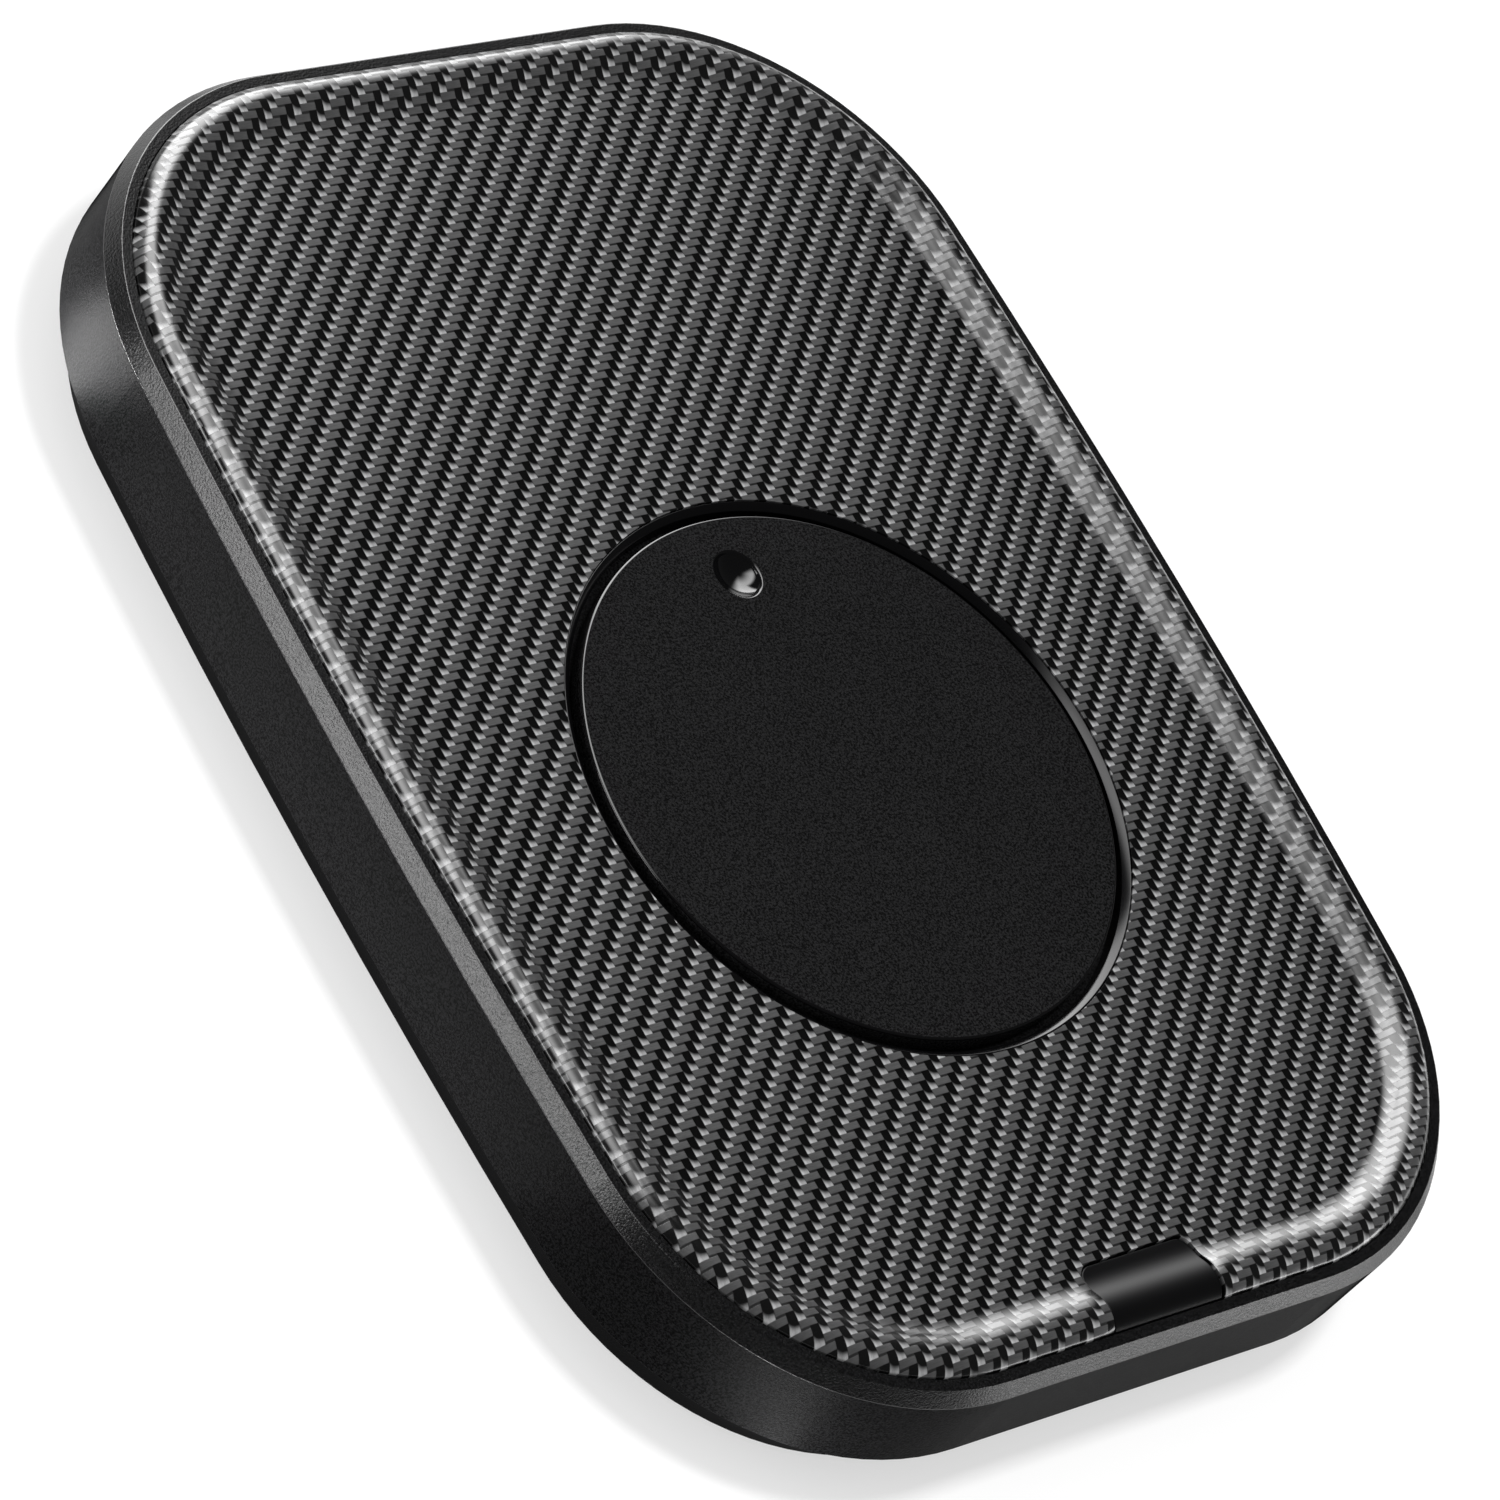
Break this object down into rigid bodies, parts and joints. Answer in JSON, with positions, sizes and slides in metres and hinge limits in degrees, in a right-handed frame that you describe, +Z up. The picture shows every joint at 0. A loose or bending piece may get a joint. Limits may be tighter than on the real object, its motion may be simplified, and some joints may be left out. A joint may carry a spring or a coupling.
{
  "type": "mouse jiggler",
  "caption": "Shallow rounded desk tray for a computer mouse, with a slow flush turntable disc in its twill-patterned floor, a front key and a rear power port.",
  "frame": {"origin": "middle of the footprint on the desk, level with the undersides of the feet", "axes": "+Z up out of the tray, +Y to the back edge with the power port, +X to the right seen from the front key"},
  "size_m": [0.09, 0.1244, 0.0154],
  "materials": {
    "housing_plastic": "moulded satin black with a fine even texture",
    "base_plastic": "moulded matt black",
    "twill_panel": "two-by-two twill weave pattern under a satin clear coat",
    "bonding_tape": "thin double-sided foam tape",
    "bezel_plastic": "polished black",
    "disc_plastic": "fine-grained satin black with a polished dimple",
    "key_plastic": "satin black",
    "steel": "turned and ground",
    "screw_steel": "zinc plated",
    "motor_steel": "drawn and tin plated",
    "port_steel": "drawn and nickel plated",
    "ballast_steel": "sheared plate, zinc plated",
    "bronze": "sintered and oiled",
    "brass": "hobbed",
    "gear_plastic": "natural acetal",
    "slippery_plastic": "natural low-friction sheet",
    "connector_plastic": "moulded ivory",
    "plunger_plastic": "moulded red",
    "circuit_board": "green solder mask",
    "chip_resin": "moulded black resin",
    "capacitor_body": "tan ceramic",
    "wire_insulation": "smooth insulation",
    "foot_rubber": "smooth black"
  },
  "bodies": {
    "tray": {"ballast_left": "ballast_steel", "ballast_right": "ballast_steel", "board_screws": "screw_steel", "bottom_cover": "base_plastic", "chip_capacitors": "capacitor_body", "controller_chip": "chip_resin", "cover_screws": "screw_steel", "disc_bezel": "bezel_plastic", "idler_clip": "steel", "idler_pin": "steel", "idler_washer": "slippery_plastic", "key_board": "circuit_board", "key_board_header": "connector_plastic", "key_board_screws": "screw_steel", "key_header": "connector_plastic", "key_lead": "wire_insulation", "key_switch": "chip_resin", "main_board": "circuit_board", "motor_can": "motor_steel", "motor_driver_chip": "chip_resin", "motor_flange": "motor_steel", "motor_header": "connector_plastic", "motor_lead": "wire_insulation", "motor_screws": "screw_steel", "motor_terminal_block": "connector_plastic", "panel_tape": "bonding_tape", "rubber_foot_back_left": "foot_rubber", "rubber_foot_back_right": "foot_rubber", "rubber_foot_front_left": "foot_rubber", "rubber_foot_front_right": "foot_rubber", "spindle_bush": "bronze", "thrust_washer": "slippery_plastic", "timing_crystal": "motor_steel", "tray_panel": "twill_panel", "upper_housing": "housing_plastic", "usb_shell": "port_steel", "usb_tongue": "chip_resin"},
    "turntable": {"turntable_disc": "disc_plastic", "turntable_spindle": "steel", "turntable_gear": "gear_plastic", "gear_washer": "steel", "gear_screw": "steel"},
    "idler": {"idler_gear": "gear_plastic"},
    "motor_rotor": {"motor_shaft": "steel", "motor_pinion": "brass"},
    "key": {"power_key": "key_plastic", "key_plunger": "plunger_plastic"}
  },
  "joints": [
    {"name": "turntable_spin", "type": "hinge", "parent": "tray", "child": "turntable", "pos_m": [0, -0.01, 0.0144], "axis": [0, 0, 1], "continuous": true},
    {"name": "idler_spin", "type": "hinge", "parent": "tray", "child": "idler", "pos_m": [0, 0.011, 0.0042], "axis": [0, 0, 1], "continuous": true},
    {"name": "rotor_spin", "type": "hinge", "parent": "tray", "child": "motor_rotor", "pos_m": [0.01738, 0.01733, 0.0042], "axis": [0, 0, 1], "continuous": true},
    {"name": "power_key_press", "type": "slide", "parent": "tray", "child": "key", "axis": [0, 0, -1], "range_m": [0, 0.0005], "stiffness_N_per_m": 3000}
  ],
  "couplings": [
    {"joint": "idler_spin", "follows": "turntable_spin", "ratio": -6},
    {"joint": "rotor_spin", "follows": "turntable_spin", "ratio": 38.4}
  ]
}
